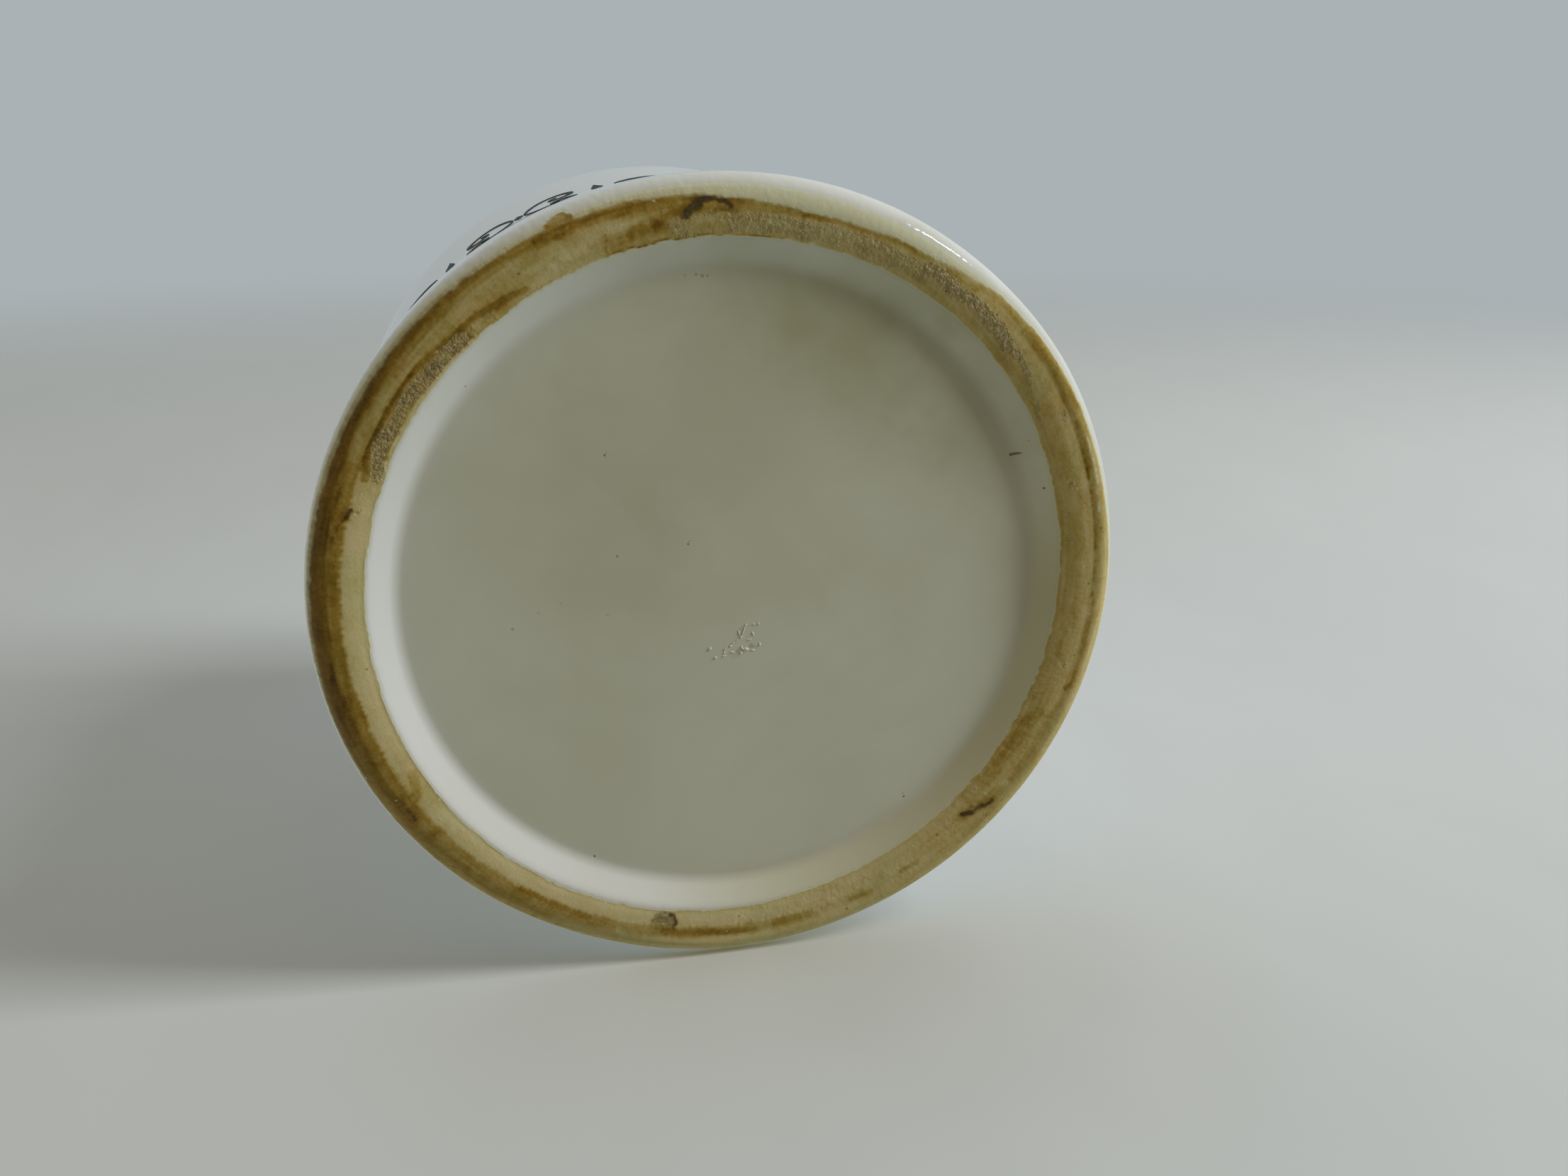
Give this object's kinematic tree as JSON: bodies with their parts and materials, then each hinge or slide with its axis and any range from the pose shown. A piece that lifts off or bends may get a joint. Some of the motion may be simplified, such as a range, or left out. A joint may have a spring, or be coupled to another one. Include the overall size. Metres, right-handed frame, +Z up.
{
  "type": "apothecary jar",
  "caption": "Squat round white-glazed jar on a recessed foot ring, with a slightly waisted wall, short neck, rolled rim and a loose domed lid with a ball knob; stores dry goods or medicines.",
  "frame": {"origin": "centre of the plane that the foot ring rests on", "axes": "+Z up along the jar's axis, from the foot to the lid's knob; the jar is round, and the front of its painted band faces -Y"},
  "size_m": [0.11, 0.11, 0.132],
  "materials": {
    "jar_glaze": "gloss",
    "lid_glaze": "gloss"
  },
  "bodies": {
    "jar": {"jar_body": "jar_glaze"},
    "cover": {"lid": "lid_glaze"}
  },
  "joints": [
    {"name": "lid_lift", "type": "slide", "parent": "jar", "child": "cover", "axis": [0, 0, 1], "range_m": [0, 0.06]}
  ]
}
